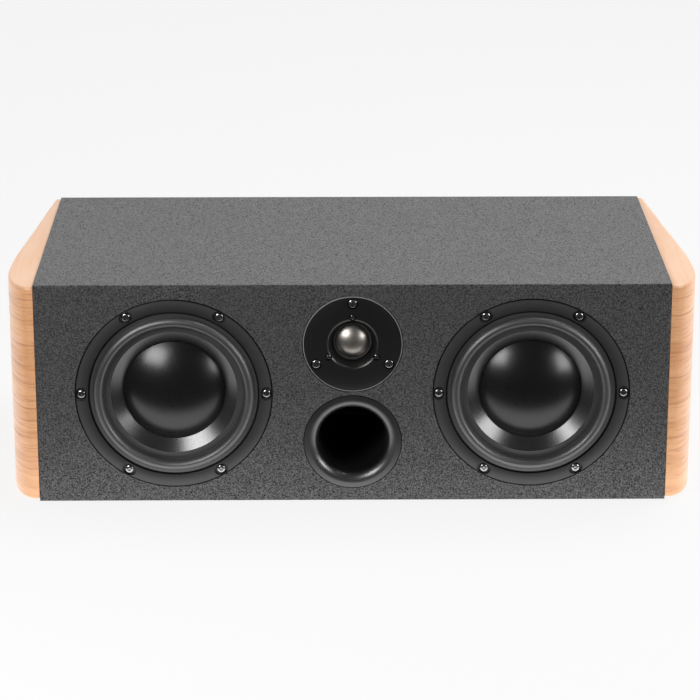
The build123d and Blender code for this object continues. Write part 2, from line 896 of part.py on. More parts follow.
def make_crossover():
    spacers_x = board_width / 2 - board_corner
    spacers_y = board_length / 2 - board_corner
    top = panel + spacer_height + board_thickness
    with BuildPart() as spacers:
        with BuildSketch(Plane.XY.offset(panel)):
            with Locations((0, board_middle)):
                with GridLocations(2 * spacers_x, 2 * spacers_y, 2, 2):
                    Circle(spacer_radius)
        extrude(amount=spacer_height)
    save(spacers, "crossover_spacers")
    with BuildPart() as board:
        with BuildSketch(Plane.XY.offset(panel + spacer_height)):
            with Locations((0, board_middle)):
                RectangleRounded(board_width, board_length, board_corner)
        extrude(amount=board_thickness)
    save(board, "crossover_board")
    choke_x = board_width / 4
    choke_y = board_middle + board_length / 2 - choke_radius - lead_gap
    with BuildPart() as chokes:
        with BuildSketch(Plane.XY.offset(top)):
            with Locations((-choke_x, choke_y), (choke_x, choke_y)):
                Circle(choke_radius)
                Circle(choke_bore, mode=Mode.SUBTRACT)
        extrude(amount=choke_height)
    save(chokes, "crossover_coils")
    row = choke_y - choke_radius - lead_gap - capacitor_radius
    pitch = capacitor_length + 2 * lead_gap
    with BuildPart() as capacitors:
        for x in (-pitch, 0.0, pitch):
            with Locations((x, row, top + capacitor_radius)):
                Cylinder(capacitor_radius, capacitor_length, rotation=(0, 90, 0))
    save(capacitors, "crossover_capacitors")
    resistor_row = row - capacitor_radius - lead_gap - resistor_width / 2
    with BuildPart() as resistors:
        for x in (-choke_x, choke_x):
            block(
                (x - resistor_length / 2, resistor_row - resistor_width / 2, top),
                (x + resistor_length / 2, resistor_row + resistor_width / 2, top + resistor_width),
            )
    save(resistors, "crossover_resistors")


def make_wiring():
    top = panel + spacer_height + board_thickness
    strip_back = front + basket_depth
    near = woofer_offset - basket_rear_radius - glue_gap
    strip_lead = near - terminal_width + lead_radius + lead_gap / 4
    with BuildPart() as strips:
        for side in (-1, 1):
            edges = sorted((side * near, side * (near - terminal_width)))
            block(
                (edges[0], strip_back - terminal_depth, woofer_middle - terminal_tall / 2),
                (edges[1], strip_back, woofer_middle + terminal_tall / 2),
            )
    save(strips, "woofer_terminals")

    yoke_back = front + tweeter_hub_depth + tweeter_gasket + tweeter_plate
    yoke_back += tweeter_magnet_height + tweeter_yoke
    stud_end = cup_floor - cup_wall - post_stud_length
    row = board_middle - board_length / 2 + lead_row / 2
    routes = [
        [(x, stud_end, cup_height), (x, row, cup_height), (x, row, top)] for x in post_places.values()
    ]
    for side in (-1, 1):
        start = side * lead_spread
        end = side * strip_lead
        routes.append(
            [
                (start, row, top),
                (start, row, woofer_middle),
                (end, row, woofer_middle),
                (end, strip_back, woofer_middle),
            ]
        )
    x = tweeter_lead_offset
    routes.append([(x - post_offset, row, top), (x - post_offset, row, tweeter_height)])
    routes[-1].append((x - post_offset, yoke_back, tweeter_height))
    with BuildPart() as leads:
        for route in routes:
            with BuildLine() as path:
                FilletPolyline(*route, radius=lead_bend)
            with BuildSketch(Plane(origin=path.line @ 0, z_dir=path.line % 0)) as section:
                Circle(lead_radius)
            sweep(section.sketch, path=path.line)
    save(leads, "speaker_wiring")


def make_wadding():
    near = brace_offset + brace_thickness / 2 + pad_brace_gap
    for side, sign in (("left", -1), ("right", 1)):
        edges = sorted((sign * near, sign * (near + pad_width)))
        with BuildPart() as wad:
            block(
                (edges[0], inner_rear - pad_thickness, woofer_middle - pad_tall / 2),
                (edges[1], inner_rear, woofer_middle + pad_tall / 2),
            )
            fillet(wad.faces().sort_by(Axis.Y)[0].edges(), pad_round)
        save(wad, f"damping_wadding_{side}")


os.makedirs("parts", exist_ok=True)
make_baffle()
make_panels()
make_cheeks()
for woofer_side, woofer_centre in woofers.items():
    make_woofer(woofer_side, woofer_centre)
make_woofer_fixings()
make_tweeter()
make_port()
make_terminals()
make_crossover()
make_wiring()
make_wadding()
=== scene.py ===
import json
import math
import bmesh
import bpy
import numpy as np
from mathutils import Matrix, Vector


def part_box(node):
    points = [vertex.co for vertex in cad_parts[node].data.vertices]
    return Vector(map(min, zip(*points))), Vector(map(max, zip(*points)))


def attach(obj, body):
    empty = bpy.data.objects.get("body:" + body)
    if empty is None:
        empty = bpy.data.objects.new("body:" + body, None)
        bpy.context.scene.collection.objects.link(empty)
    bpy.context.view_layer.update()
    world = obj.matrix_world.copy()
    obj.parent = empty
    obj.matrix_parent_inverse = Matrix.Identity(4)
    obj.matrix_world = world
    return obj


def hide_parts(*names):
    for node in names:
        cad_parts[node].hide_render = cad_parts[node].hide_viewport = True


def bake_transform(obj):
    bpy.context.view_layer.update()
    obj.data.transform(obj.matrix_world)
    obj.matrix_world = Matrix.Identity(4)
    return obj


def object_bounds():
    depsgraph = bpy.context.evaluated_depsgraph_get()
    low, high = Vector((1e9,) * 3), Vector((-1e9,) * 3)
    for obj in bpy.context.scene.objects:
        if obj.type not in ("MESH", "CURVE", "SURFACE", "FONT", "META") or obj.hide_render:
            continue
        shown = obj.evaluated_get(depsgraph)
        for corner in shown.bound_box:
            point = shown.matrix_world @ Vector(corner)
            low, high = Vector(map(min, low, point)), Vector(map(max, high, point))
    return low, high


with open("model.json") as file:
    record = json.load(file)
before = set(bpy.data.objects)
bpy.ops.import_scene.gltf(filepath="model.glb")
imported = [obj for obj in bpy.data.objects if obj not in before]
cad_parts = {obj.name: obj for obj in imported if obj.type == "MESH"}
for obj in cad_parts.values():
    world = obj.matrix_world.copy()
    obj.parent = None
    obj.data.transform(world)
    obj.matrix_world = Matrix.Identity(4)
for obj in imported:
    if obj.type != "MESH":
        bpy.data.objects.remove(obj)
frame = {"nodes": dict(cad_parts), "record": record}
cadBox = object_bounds()
nodes = frame["nodes"]
scene = bpy.context.scene
mm = 0.001
print("frame loaded:", len(nodes), "nodes")


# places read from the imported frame

def middleOf(node):
    low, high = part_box(node)
    return (low + high) / 2


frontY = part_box("front_baffle")[0].y
wooferAxes = {side: middleOf(f"woofer_{side}_frame") for side in ("left", "right")}
tweeterAxis = middleOf("tweeter_faceplate")
portAxis = middleOf("port_tube")


# material helpers

def startMaterial(name, roughness, metallic=0.0):
    material = bpy.data.materials.new(name)
    material.use_nodes = True
    tree = material.node_tree
    shader = tree.nodes["Principled BSDF"]
    shader.inputs["Roughness"].default_value = roughness
    shader.inputs["Metallic"].default_value = metallic
    return material, tree, shader


def addNode(tree, kind, **values):
    # sets sockets by name, with _ for a space, and other values as settings of the node
    node = tree.nodes.new(kind)
    for name, value in values.items():
        socket = name.replace("_", " ")
        if socket in node.inputs:
            node.inputs[socket].default_value = value
        else:
            setattr(node, name, value)
    return node


def wire(tree, source, target, output=0, socket=0):
    tree.links.new(source.outputs[output], target.inputs[socket])


def feed(tree, value, socket):
    # links a node's output to a socket, or sets the socket to a plain value
    if isinstance(value, bpy.types.NodeSocket):
        tree.links.new(value, socket)
    else:
        socket.default_value = value


def grey(value):
    return (value, value, value)


def stretched(tree, scale=(1, 1, 1)):
    # object coordinates, in metres, stretched by a mapping node
    place = addNode(tree, "ShaderNodeTexCoord")
    mapping = addNode(tree, "ShaderNodeMapping", Scale=scale)
    wire(tree, place, mapping, "Object", "Vector")
    return mapping


def noiseOn(tree, vector, scale, detail=2.0, roughness=0.5):
    noise = addNode(tree, "ShaderNodeTexNoise", Scale=scale, Detail=detail, Roughness=roughness)
    wire(tree, vector, noise, "Vector", "Vector")
    return noise


def ramp(tree, source, stops, output="Fac"):
    # stops are pairs of place and colour
    node = addNode(tree, "ShaderNodeValToRGB")
    elements = node.color_ramp.elements
    while len(elements) < len(stops):
        elements.new(0.5)
    for element, (place, colour) in zip(elements, stops):
        element.position = place
        element.color = (*colour, 1.0)
    wire(tree, source, node, output, "Fac")
    return node.outputs["Color"]


def greys(tree, noise, edges, values):
    # a ramp between two greys
    return ramp(tree, noise, [(edge, grey(value)) for edge, value in zip(edges, values)])


def product(tree, first, second):
    node = addNode(tree, "ShaderNodeMath", operation="MULTIPLY")
    feed(tree, first, node.inputs[0])
    feed(tree, second, node.inputs[1])
    return node.outputs[0]


def mixColours(tree, under, over, share, way="MIX"):
    blend = addNode(tree, "ShaderNodeMix", data_type="RGBA", blend_type=way)
    for index, value in ((0, share), (6, under), (7, over)):  # the sockets that a colour mix uses
        feed(tree, value, blend.inputs[index])
    return blend.outputs[2]


def bumpFrom(tree, shader, noise, strength, distance):
    bump = addNode(tree, "ShaderNodeBump", Strength=strength, Distance=distance)
    wire(tree, noise, bump, "Fac", "Height")
    wire(tree, bump, shader, "Normal", "Normal")


# black paint with fine grains, clumps of them that glint, and faint clouds

paint = dict(
    speck=1150.0, speckEdges=(0.36, 0.67), speckTones=(0.002, 0.090),
    clump=700.0, clumpEdges=(0.36, 0.64), clumpTones=(0.9, 1.0), clumpShine=(0.0, 1.25),
    cloud=9.0, cloudEdges=(0.3, 0.7), cloudTones=(0.93, 1.0),
    rough=0.5, bump=0.8, depth=0.0006,
)


def texturedPaint():
    material, tree, shader = startMaterial("texturedPaint", paint["rough"])
    plain = stretched(tree)
    speck = noiseOn(tree, plain, paint["speck"], detail=3.0, roughness=0.7)
    clump = noiseOn(tree, plain, paint["clump"], roughness=0.6)
    cloud = noiseOn(tree, plain, paint["cloud"], detail=3.0)
    colour = greys(tree, speck, paint["speckEdges"], paint["speckTones"])
    for kind, noise in (("cloud", cloud), ("clump", clump)):
        shade = greys(tree, noise, paint[f"{kind}Edges"], paint[f"{kind}Tones"])
        colour = mixColours(tree, colour, shade, 1.0, "MULTIPLY")
    tree.links.new(colour, shader.inputs["Base Color"])
    shine = greys(tree, clump, paint["clumpEdges"], paint["clumpShine"])
    tree.links.new(shine, shader.inputs["Specular IOR Level"])
    bumpFrom(tree, shader, speck, paint["bump"], paint["depth"])
    return material


# solid wood in layers, whose ends show as lines on the upright faces

wood = dict(
    pale=(0.72, 0.375, 0.185), warm=(0.62, 0.295, 0.128),
    # the paler tone for the top and bottom faces is a painted sheen
    line=(0.33, 0.12, 0.04), paintedTopSheen=(0.66, 0.41, 0.255),
    broad=(2.6, 1.3, 90.0), broadEdges=(0.34, 0.62),
    layer=(14.0, 3.0, 380.0), layerEdges=(0.34, 0.43), layerShare=0.46,
    dash=(45.0, 14.0, 660.0), dashEdges=(0.37, 0.46), dashShare=0.4,
    long=(170.0, 6.0, 2.0), longEdges=(0.40, 0.56), longShare=0.4,
    topSheenShare=0.8, warp=(3.2, 2.4, 5.0), warpReach=0.022,
    shine=0.7, roughEdges=(0.35, 0.65), rough=(0.46, 0.32), bump=0.12, depth=0.0002,
)


def oiledWood():
    material, tree, shader = startMaterial("oiledWood", wood["rough"][0])
    shader.inputs["Specular IOR Level"].default_value = wood["shine"]
    # the layers wander a little
    warp = noiseOn(tree, stretched(tree, wood["warp"]), 1.0)
    lift = addNode(tree, "ShaderNodeVectorMath", operation="SCALE", Scale=wood["warpReach"])
    wire(tree, warp, lift, "Color", 0)
    place = addNode(tree, "ShaderNodeTexCoord")
    bent = addNode(tree, "ShaderNodeVectorMath", operation="ADD")
    wire(tree, place, bent, "Object", 0)
    wire(tree, lift, bent, 0, 1)
    # the top and bottom get a paler colour, a painted sheen, and show the long grain
    facing = addNode(tree, "ShaderNodeSeparateXYZ")
    wire(tree, place, facing, "Normal", 0)
    level = addNode(tree, "ShaderNodeMath", operation="ABSOLUTE")
    wire(tree, facing, level, "Z", 0)
    upright = addNode(tree, "ShaderNodeMath", operation="SUBTRACT")
    upright.inputs[0].default_value = 1.0
    wire(tree, level, upright, 0, 1)

    def grain(kind, detail):
        mapping = addNode(tree, "ShaderNodeMapping", Scale=wood[kind])
        wire(tree, bent, mapping, 0, "Vector")
        return noiseOn(tree, mapping, 1.0, detail, roughness=0.55)

    def lines(kind, noise, faces):
        shown = greys(tree, noise, wood[f"{kind}Edges"], (1.0, 0.0))
        return product(tree, product(tree, shown, faces.outputs[0]), wood[f"{kind}Share"])

    def laid(under, tone, share):
        return mixColours(tree, under, (*wood[tone], 1.0), share)

    broad = grain("broad", 3.0)
    layer = grain("layer", 3.0)
    dash = grain("dash", 2.0)
    long = grain("long", 2.0)
    low, high = wood["broadEdges"]
    colour = ramp(tree, broad, [(low, wood["warm"]), (high, wood["pale"])])
    colour = laid(colour, "paintedTopSheen", product(tree, level.outputs[0], wood["topSheenShare"]))
    colour = laid(colour, "warm", lines("long", long, level))
    colour = laid(colour, "line", lines("layer", layer, upright))
    colour = laid(colour, "line", lines("dash", dash, upright))
    tree.links.new(colour, shader.inputs["Base Color"])
    rough = greys(tree, dash, wood["roughEdges"], wood["rough"])
    tree.links.new(rough, shader.inputs["Roughness"])
    bumpFrom(tree, shader, dash, wood["bump"], wood["depth"])
    return material


# moulded, cast and rubber blacks, with a fine grain in tone and surface and patches in gloss

satin = dict(edges=(0.3, 0.7), patch=24.0, gloss=(0.92, 1.08))
satins = {
    "frame_black": dict(
        name="frameBlack", dark=0.031, light=0.039, rough=0.42, grain=1500.0, bump=0.12, depth=0.00006,
    ),
    "surround_rubber": dict(
        name="surroundRubber", dark=0.017, light=0.023, rough=0.46, grain=1200.0, bump=0.06, depth=0.00005,
        shine=1.0, index=1.65,
    ),
    "cone_black": dict(
        name="coneBlack", dark=0.010, light=0.014, rough=0.25, grain=900.0, bump=0.04, depth=0.00004,
        shine=1.1,
    ),
    "cap_black": dict(
        name="capBlack", dark=0.004, light=0.006, rough=0.27, grain=900.0, bump=0.03, depth=0.00003,
        shine=0.58,
    ),
    "faceplate_black": dict(
        name="faceplateBlack", dark=0.005, light=0.007, rough=0.3, grain=1600.0, bump=0.05, depth=0.00003,
        shine=0.8,
    ),
    "port_black": dict(
        name="portBlack", dark=0.005, light=0.007, rough=0.33, grain=1100.0, bump=0.05, depth=0.00004,
        shine=1.05, index=1.6,
    ),
    "cup_black": dict(
        name="cupBlack", dark=0.014, light=0.02, rough=0.48, grain=1200.0, bump=0.25, depth=0.00012,
    ),
    "ferrite": dict(
        name="ferrite", dark=0.045, light=0.07, rough=0.7, grain=500.0, bump=0.3, depth=0.0003,
    ),
    "gasket_rubber": dict(name="gasketRubber", dark=0.012, light=0.018, rough=0.8),
    "tweeter_roll": dict(name="tweeterRoll", dark=0.016, light=0.022, rough=0.6),
    "knob_black": dict(name="knobBlack", dark=0.012, light=0.018, rough=0.38),
}


def satinBlack(name, dark, light, rough, grain=700.0, bump=0.1, depth=0.0001, shine=0.5, index=1.5):
    material, tree, shader = startMaterial(name, rough)
    shader.inputs["Specular IOR Level"].default_value = shine
    shader.inputs["IOR"].default_value = index
    plain = stretched(tree)
    fine = noiseOn(tree, plain, grain, roughness=0.55)
    patch = noiseOn(tree, plain, satin["patch"], detail=3.0)
    tree.links.new(greys(tree, fine, satin["edges"], (dark, light)), shader.inputs["Base Color"])
    gloss = [rough * share for share in satin["gloss"]]
    tree.links.new(greys(tree, patch, satin["edges"], gloss), shader.inputs["Roughness"])
    bumpFrom(tree, shader, fine, bump, depth)
    return material


# metals

metal = dict(grain=900.0, edges=(0.3, 0.7), tarnish=0.94, gloss=(0.9, 1.1))
metals = {
    "coil_copper": dict(name="coilCopper", colour=(0.72, 0.32, 0.14), rough=0.3),
    "plate_steel": dict(name="plateSteel", colour=(0.42, 0.42, 0.43), rough=0.42),
    "screw_black": dict(name="screwBlack", colour=(0.40, 0.40, 0.41), rough=0.2),
    "dome_metal": dict(name="domeMetal", colour=(0.48, 0.445, 0.405), rough=0.38),
    "post_gold": dict(name="postGold", colour=(0.83, 0.58, 0.22), rough=0.22),
}


def plainMetal(name, colour, rough):
    material, tree, shader = startMaterial(name, rough, 1.0)
    fine = noiseOn(tree, stretched(tree), metal["grain"])
    low, high = metal["edges"]
    worn = tuple(c * metal["tarnish"] for c in colour)
    tree.links.new(ramp(tree, fine, [(low, worn), (high, colour)]), shader.inputs["Base Color"])
    gloss = [rough * share for share in metal["gloss"]]
    tree.links.new(greys(tree, fine, metal["edges"], gloss), shader.inputs["Roughness"])
    return material


# cloth, board, film, cement and coloured plastics, mostly inside the cabinet

soft = dict(edges=(0.3, 0.7), bump=0.3, depth=0.0004)
softs = {
    "bare_board": dict(name="bareBoard", dark=(0.36, 0.25, 0.15), light=(0.50, 0.37, 0.24), grain=260.0),
    "wadding": dict(name="wadding", dark=grey(0.62), light=grey(0.85), grain=120.0),
    "spider_cloth": dict(
        name="spiderCloth", dark=(0.42, 0.27, 0.08), light=(0.62, 0.43, 0.16), grain=1500.0,
    ),
    "knob_red": dict(
        name="knobRed", dark=(0.34, 0.012, 0.012), light=(0.42, 0.02, 0.018), grain=900.0, rough=0.35,
    ),
    "board_green": dict(
        name="boardGreen", dark=(0.03, 0.16, 0.07), light=(0.06, 0.24, 0.11), grain=300.0, rough=0.45,
    ),
    "spacer_nylon": dict(name="spacerNylon", dark=grey(0.66), light=grey(0.78), grain=300.0, rough=0.5),
    "capacitor_film": dict(
        name="capacitorFilm", dark=(0.50, 0.38, 0.08), light=(0.62, 0.50, 0.14), grain=300.0, rough=0.4,
    ),
    "resistor_cement": dict(name="resistorCement", dark=grey(0.66), light=grey(0.8), grain=700.0),
    "lead_insulation": dict(
        name="leadInsulation", dark=(0.26, 0.04, 0.04), light=(0.33, 0.06, 0.05), grain=400.0, rough=0.5,
    ),
}


def softStuff(name, dark, light, grain, rough=0.9):
    material, tree, shader = startMaterial(name, rough)
    fine = noiseOn(tree, stretched(tree), grain, detail=4.0, roughness=0.6)
    low, high = soft["edges"]
    tree.links.new(ramp(tree, fine, [(low, dark), (high, light)]), shader.inputs["Base Color"])
    bumpFrom(tree, shader, fine, soft["bump"], soft["depth"])
    return material


# a painted highlight on the rounded rim of the tweeter's plate, and painted shade in the gaps inside and
# outside the woofers' frames, fading across the flange from the lip

# painted highlight: a grey ring on the plate's rounded rim
paintedPlateRimHighlight = dict(tone=0.3, stops=[(44.7, 0.0), (45.0, 1.0)])
# painted shade: near black in the gaps round the frames, fading across the flange from the lip
paintedFrameGapShade = dict(
    tone=0.001,
    stops=[(77.0, 1.0), (78.6, 1.0), (78.9, 0.5), (87.5, 0.0), (89.2, 0.0), (89.5, 1.0)],
)


def ringOn(material, centre, tone, stops):
    # lays a painted tone of light or shade over a turned piece by its share at each radius, alike on the
    # left and the right
    tree = material.node_tree
    base = tree.nodes["Principled BSDF"].inputs["Base Color"]
    under = base.links[0].from_socket
    place = addNode(tree, "ShaderNodeTexCoord")
    folded = addNode(tree, "ShaderNodeVectorMath", operation="ABSOLUTE")
    wire(tree, place, folded, "Object", 0)
    shift = (-abs(centre.x), 0, -centre.z)
    mapping = addNode(tree, "ShaderNodeMapping", Scale=(1, 0, 1), Location=shift)
    wire(tree, folded, mapping, 0, "Vector")
    reach = addNode(tree, "ShaderNodeVectorMath", operation="LENGTH")
    wire(tree, mapping, reach, "Vector", 0)
    first = stops[0][0]
    last = stops[-1][0]
    along = addNode(tree, "ShaderNodeMapRange", From_Min=first * mm, From_Max=last * mm)
    wire(tree, reach, along, "Value", "Value")
    places = [((radius - first) / (last - first), grey(share)) for radius, share in stops]
    share = ramp(tree, along, places, "Result")
    tree.links.new(mixColours(tree, under, (*grey(tone), 1.0), share), base)


finishes = {"textured_black": texturedPaint(), "oiled_wood": oiledWood()}
finishes.update({slot: satinBlack(**look) for slot, look in satins.items()})
finishes.update({slot: plainMetal(**look) for slot, look in metals.items()})
finishes.update({slot: softStuff(**look) for slot, look in softs.items()})
ringOn(finishes["faceplate_black"], tweeterAxis, **paintedPlateRimHighlight)
ringOn(finishes["frame_black"], wooferAxes["right"], **paintedFrameGapShade)
slotOf = {part["node"]: part["material_slot"] for part in frame["record"]["subparts"]}
for node, piece in nodes.items():
    piece.data.materials.clear()
    piece.data.materials.append(finishes[slotOf[node]])
print("finishes:", len(finishes))


# mesh helpers

weld = 1e-7  # corners this close, in metres, are one
touch = 1e-6  # a corner this close to a plane, in metres, lies on it


def finishPiece(name, bm, node, body="root", sharp=35.0, rides=True):
    # turns a bmesh into a piece that stands for a CAD node
    bmesh.ops.remove_doubles(bm, verts=bm.verts, dist=weld)
    bmesh.ops.recalc_face_normals(bm, faces=bm.faces)
    mesh = bpy.data.meshes.new(name)
    bm.to_mesh(mesh)
    bm.free()
    piece = bpy.data.objects.new(name, mesh)
    scene.collection.objects.link(piece)
    mesh.polygons.foreach_set("use_smooth", [True] * len(mesh.polygons))
    mesh.set_sharp_from_angle(angle=math.radians(sharp))
    mesh.materials.append(finishes[slotOf[node]])
    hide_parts(node)
    if rides:
        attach(piece, body)
    return piece


def turn(bm, centre, outline, steps, closed=True):
    # spins an outline of (radius, depth) corners, in millimetres, about a driver's axis
    verts = [bm.verts.new((centre.x + r * mm, frontY + d * mm, centre.z)) for r, d in outline]
    pairs = list(zip(verts, verts[1:]))
    if closed:
        pairs.append((verts[-1], verts[0]))
    edges = [bm.edges.new(pair) for pair in pairs]
    bmesh.ops.spin(
        bm, geom=verts + edges, cent=(centre.x, 0, centre.z), axis=(0, 1, 0),
        angle=2 * math.pi, steps=steps, use_merge=True,
    )
    bmesh.ops.remove_doubles(bm, verts=bm.verts, dist=weld)


def roundEdges(bm, edges, width, segments):
    bmesh.ops.bevel(
        bm, geom=edges, offset=width * mm, offset_type="OFFSET", affect="EDGES",
        segments=segments, profile=0.5, material=-1, clamp_overlap=True,
    )


def arc(centre, radius, start, stop, count):
    # points on a round stretch, angles in degrees
    angles = [math.radians(start + (stop - start) * i / count) for i in range(count + 1)]
    return [(centre[0] + radius * math.cos(a), centre[1] + radius * math.sin(a)) for a in angles]


def arcThrough(first, crest, last, count):
    # points on the circle through three points
    (ax, ay), (bx, by), (cx, cy) = first, crest, last
    span = 2 * (ax * (by - cy) + bx * (cy - ay) + cx * (ay - by))
    a2, b2, c2 = ax * ax + ay * ay, bx * bx + by * by, cx * cx + cy * cy
    ux = (a2 * (by - cy) + b2 * (cy - ay) + c2 * (ay - by)) / span
    uy = (a2 * (cx - bx) + b2 * (ax - cx) + c2 * (bx - ax)) / span
    start = math.degrees(math.atan2(ay - uy, ax - ux))
    middle = math.degrees(math.atan2(by - uy, bx - ux))
    stop = math.degrees(math.atan2(cy - uy, cx - ux))
    while middle < start:
        middle += 360
    while stop < middle:
        stop += 360
    if stop - start > 360:
        start, stop = start + 360, stop - 360
    return arc((ux, uy), math.hypot(ax - ux, ay - uy), start, stop, count)


def domeOutline(rimRadius, rimDepth, apex, skin, count):
    # a shell of a ball, from its apex out to the rim and back inside
    rise = rimDepth - apex
    ball = (rimRadius**2 + rise**2) / (2 * rise)
    spread = math.degrees(math.asin(rimRadius / ball))
    centre = (0.0, apex + ball)
    outside = arc(centre, ball, -90, -90 + spread, count)
    inside = arc(centre, ball - skin, -90 + spread, -90, count)
    return outside + inside


def bendRoll(piece, inner, outer):
    # moves the roll's placement into its mesh and reads its corners into an array; nothing is set from them
    inner *= mm
    outer *= mm
    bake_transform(piece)
    places = np.zeros(len(piece.data.vertices) * 3, np.float32)
    piece.data.vertices.foreach_get("co", places)
    places = places.reshape(-1, 3)


# side cheeks

cheek = dict(
    land=4.0, nose=60.0, shoulder=55.0, rear=6.5, noseSteps=40, shoulderSteps=14, sharp=40.0,
    outerRound=3.2, outerSteps=6, innerRound=1.1, innerSteps=2,
)


def cheekOutline(thick, deep):
    # thickness and depth along the outer face, from the front land to the back
    reach = thick - cheek["land"]
    points = [(0.0, 0.0)]
    for i in range(cheek["noseSteps"] + 1):
        a = math.radians(90) * i / cheek["noseSteps"]
        points.append((cheek["land"] + reach * math.sin(a), cheek["nose"] * (1 - math.cos(a))))
    fall = thick - cheek["rear"]
    run = deep - cheek["nose"] - cheek["shoulder"]
    drop = fall / (1 + 2 * run / cheek["shoulder"])
    for i in range(1, cheek["shoulderSteps"] + 1):
        t = i / cheek["shoulderSteps"]
        points.append((thick - drop * t * t, cheek["nose"] + cheek["shoulder"] * t))
    points.append((cheek["rear"], deep))
    points.append((0.0, deep))
    return points


def makeCheek(side):
    node = f"side_cheek_{side}"
    low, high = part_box(node)
    sign = -1 if side == "left" else 1
    base = high.x if side == "left" else low.x
    thick = (high.x - low.x) / mm
    deep = (high.y - low.y) / mm
    bm = bmesh.new()
    ring = [
        bm.verts.new((base + sign * t * mm, low.y + d * mm, low.z))
        for t, d in cheekOutline(thick, deep)
    ]
    floorFace = bm.faces.new(ring)
    grown = bmesh.ops.extrude_face_region(bm, geom=[floorFace])
    lifted = [v for v in grown["geom"] if isinstance(v, bmesh.types.BMVert)]
    bmesh.ops.translate(bm, verts=lifted, vec=(0, 0, high.z - low.z))
    bmesh.ops.recalc_face_normals(bm, faces=bm.faces)

    def level(edge):
        return abs(edge.verts[0].co.z - edge.verts[1].co.z) < touch

    def atCabinet(edge):
        return all(abs(v.co.x - base) < touch for v in edge.verts)

    def atBack(edge):
        return all(abs(v.co.y - high.y) < touch for v in edge.verts)

    outer = [e for e in bm.edges if level(e) and not atCabinet(e) and not atBack(e)]
    roundEdges(bm, outer, cheek["outerRound"], cheek["outerSteps"])
    inner = [e for e in bm.edges if atCabinet(e) and not atBack(e)]
    roundEdges(bm, inner, cheek["innerRound"], cheek["innerSteps"])
    finishPiece(f"cheek.{side}", bm, node, sharp=cheek["sharp"])


for side in ("left", "right"):
    makeCheek(side)
print("cheeks done")


# woofers: roll surround, cone and dust cap

woofer = dict(
    steps=160, skin=0.8, land=1.4, glue=4.5, crest=-4.6, outer=77.0, rollOuter=74.0, rollInner=63.8,
    rollSteps=16, mouth=58.3, rimRadius=63.4, rimDepth=5.3, coneSkin=1.2, coneDrop=0.64, neck=37.65,
    capRadius=46.7, capApex=-3.1, capSkin=0.8, capSteps=26, sharp=50.0, coneSharp=20.0,
)


def coneDepth(radius):
    return woofer["rimDepth"] + (woofer["mouth"] - radius) * woofer["coneDrop"]


def surroundOutline():
    w = woofer
    middle = (w["rollOuter"] + w["rollInner"]) / 2
    half = (w["rollOuter"] - w["rollInner"]) / 2
    skin = w["skin"]
    crest = w["crest"]

    def quarter(seat, reach, top, start):
        # a quarter of an ellipse between a seat and the crest
        turns = [math.radians(start - 90 * i / w["rollSteps"]) for i in range(w["rollSteps"] + 1)]
        return [(middle + reach * math.cos(a), seat + (seat - top) * math.sin(a)) for a in turns]

    outerSide = quarter(w["land"], half, crest, 360) + quarter(w["glue"], half, crest, 270)[1:]
    innerSide = quarter(w["land"] + skin, half - skin, crest + skin, 360)
    innerSide += quarter(w["rimDepth"], half - skin, crest + skin, 270)[1:]
    points = [(w["outer"], w["land"])] + outerSide
    points += [(w["mouth"], w["glue"]), (w["mouth"], w["rimDepth"])]
    points += innerSide[::-1] + [(w["outer"], w["land"] + skin)]
    return points


def makeSurround(side, centre):
    w = woofer
    bm = bmesh.new()
    turn(bm, centre, surroundOutline(), w["steps"])
    node = f"woofer_{side}_surround"
    piece = finishPiece(f"surround.{side}", bm, node, sharp=w["sharp"], rides=False)
    bendRoll(piece, w["rollInner"], w["rollOuter"])


def makeCone(side, centre):
    w = woofer
    skin = w["coneSkin"] * math.hypot(1, w["coneDrop"])
    neck = w["neck"]
    outline = [
        (w["rimRadius"], w["rimDepth"]),
        (w["mouth"], w["rimDepth"]),
        (neck, coneDepth(neck)),
        (neck, coneDepth(neck) + skin),
        (w["mouth"], w["rimDepth"] + skin),
        (w["rimRadius"], w["rimDepth"] + skin),
    ]
    bm = bmesh.new()
    turn(bm, centre, outline, w["steps"])
    body = f"woofer_{side}_diaphragm"
    finishPiece(f"cone.{side}", bm, f"woofer_{side}_cone", body, sharp=w["coneSharp"])


def makeCap(side, centre):
    w = woofer
    rim = coneDepth(w["capRadius"]) - w["capSkin"]
    outline = domeOutline(w["capRadius"], rim, w["capApex"], w["capSkin"], w["capSteps"])
    bm = bmesh.new()
    turn(bm, centre, outline, w["steps"], closed=False)
    body = f"woofer_{side}_diaphragm"
    finishPiece(f"dustCap.{side}", bm, f"woofer_{side}_dust_cap", body, sharp=w["sharp"])


for side, axis in wooferAxes.items():
    makeSurround(side, axis)
    makeCone(side, axis)
    makeCap(side, axis)
print("woofers done")


# screws: rounded pan heads with a six-sided socket

screwForm = dict(socket=0.42, floor=0.4, crown=0.62, crownTurns=(25, 45, 62, 78, 90), steps=30, sharp=38.0)
wooferScrew = dict(circle=84.9, count=6, first=0, seat=2.6, head=4.0, height=2.4, shank=2.0, length=22.0)
mountingScrew = dict(circle=38.4, count=3, first=90, seat=2.4, head=4.2, height=2.2, shank=1.8, length=20.0)
rimScrew = dict(circle=25.4, count=3, first=90, seat=3.0, head=2.5, height=1.6, shank=1.2, length=13.0)


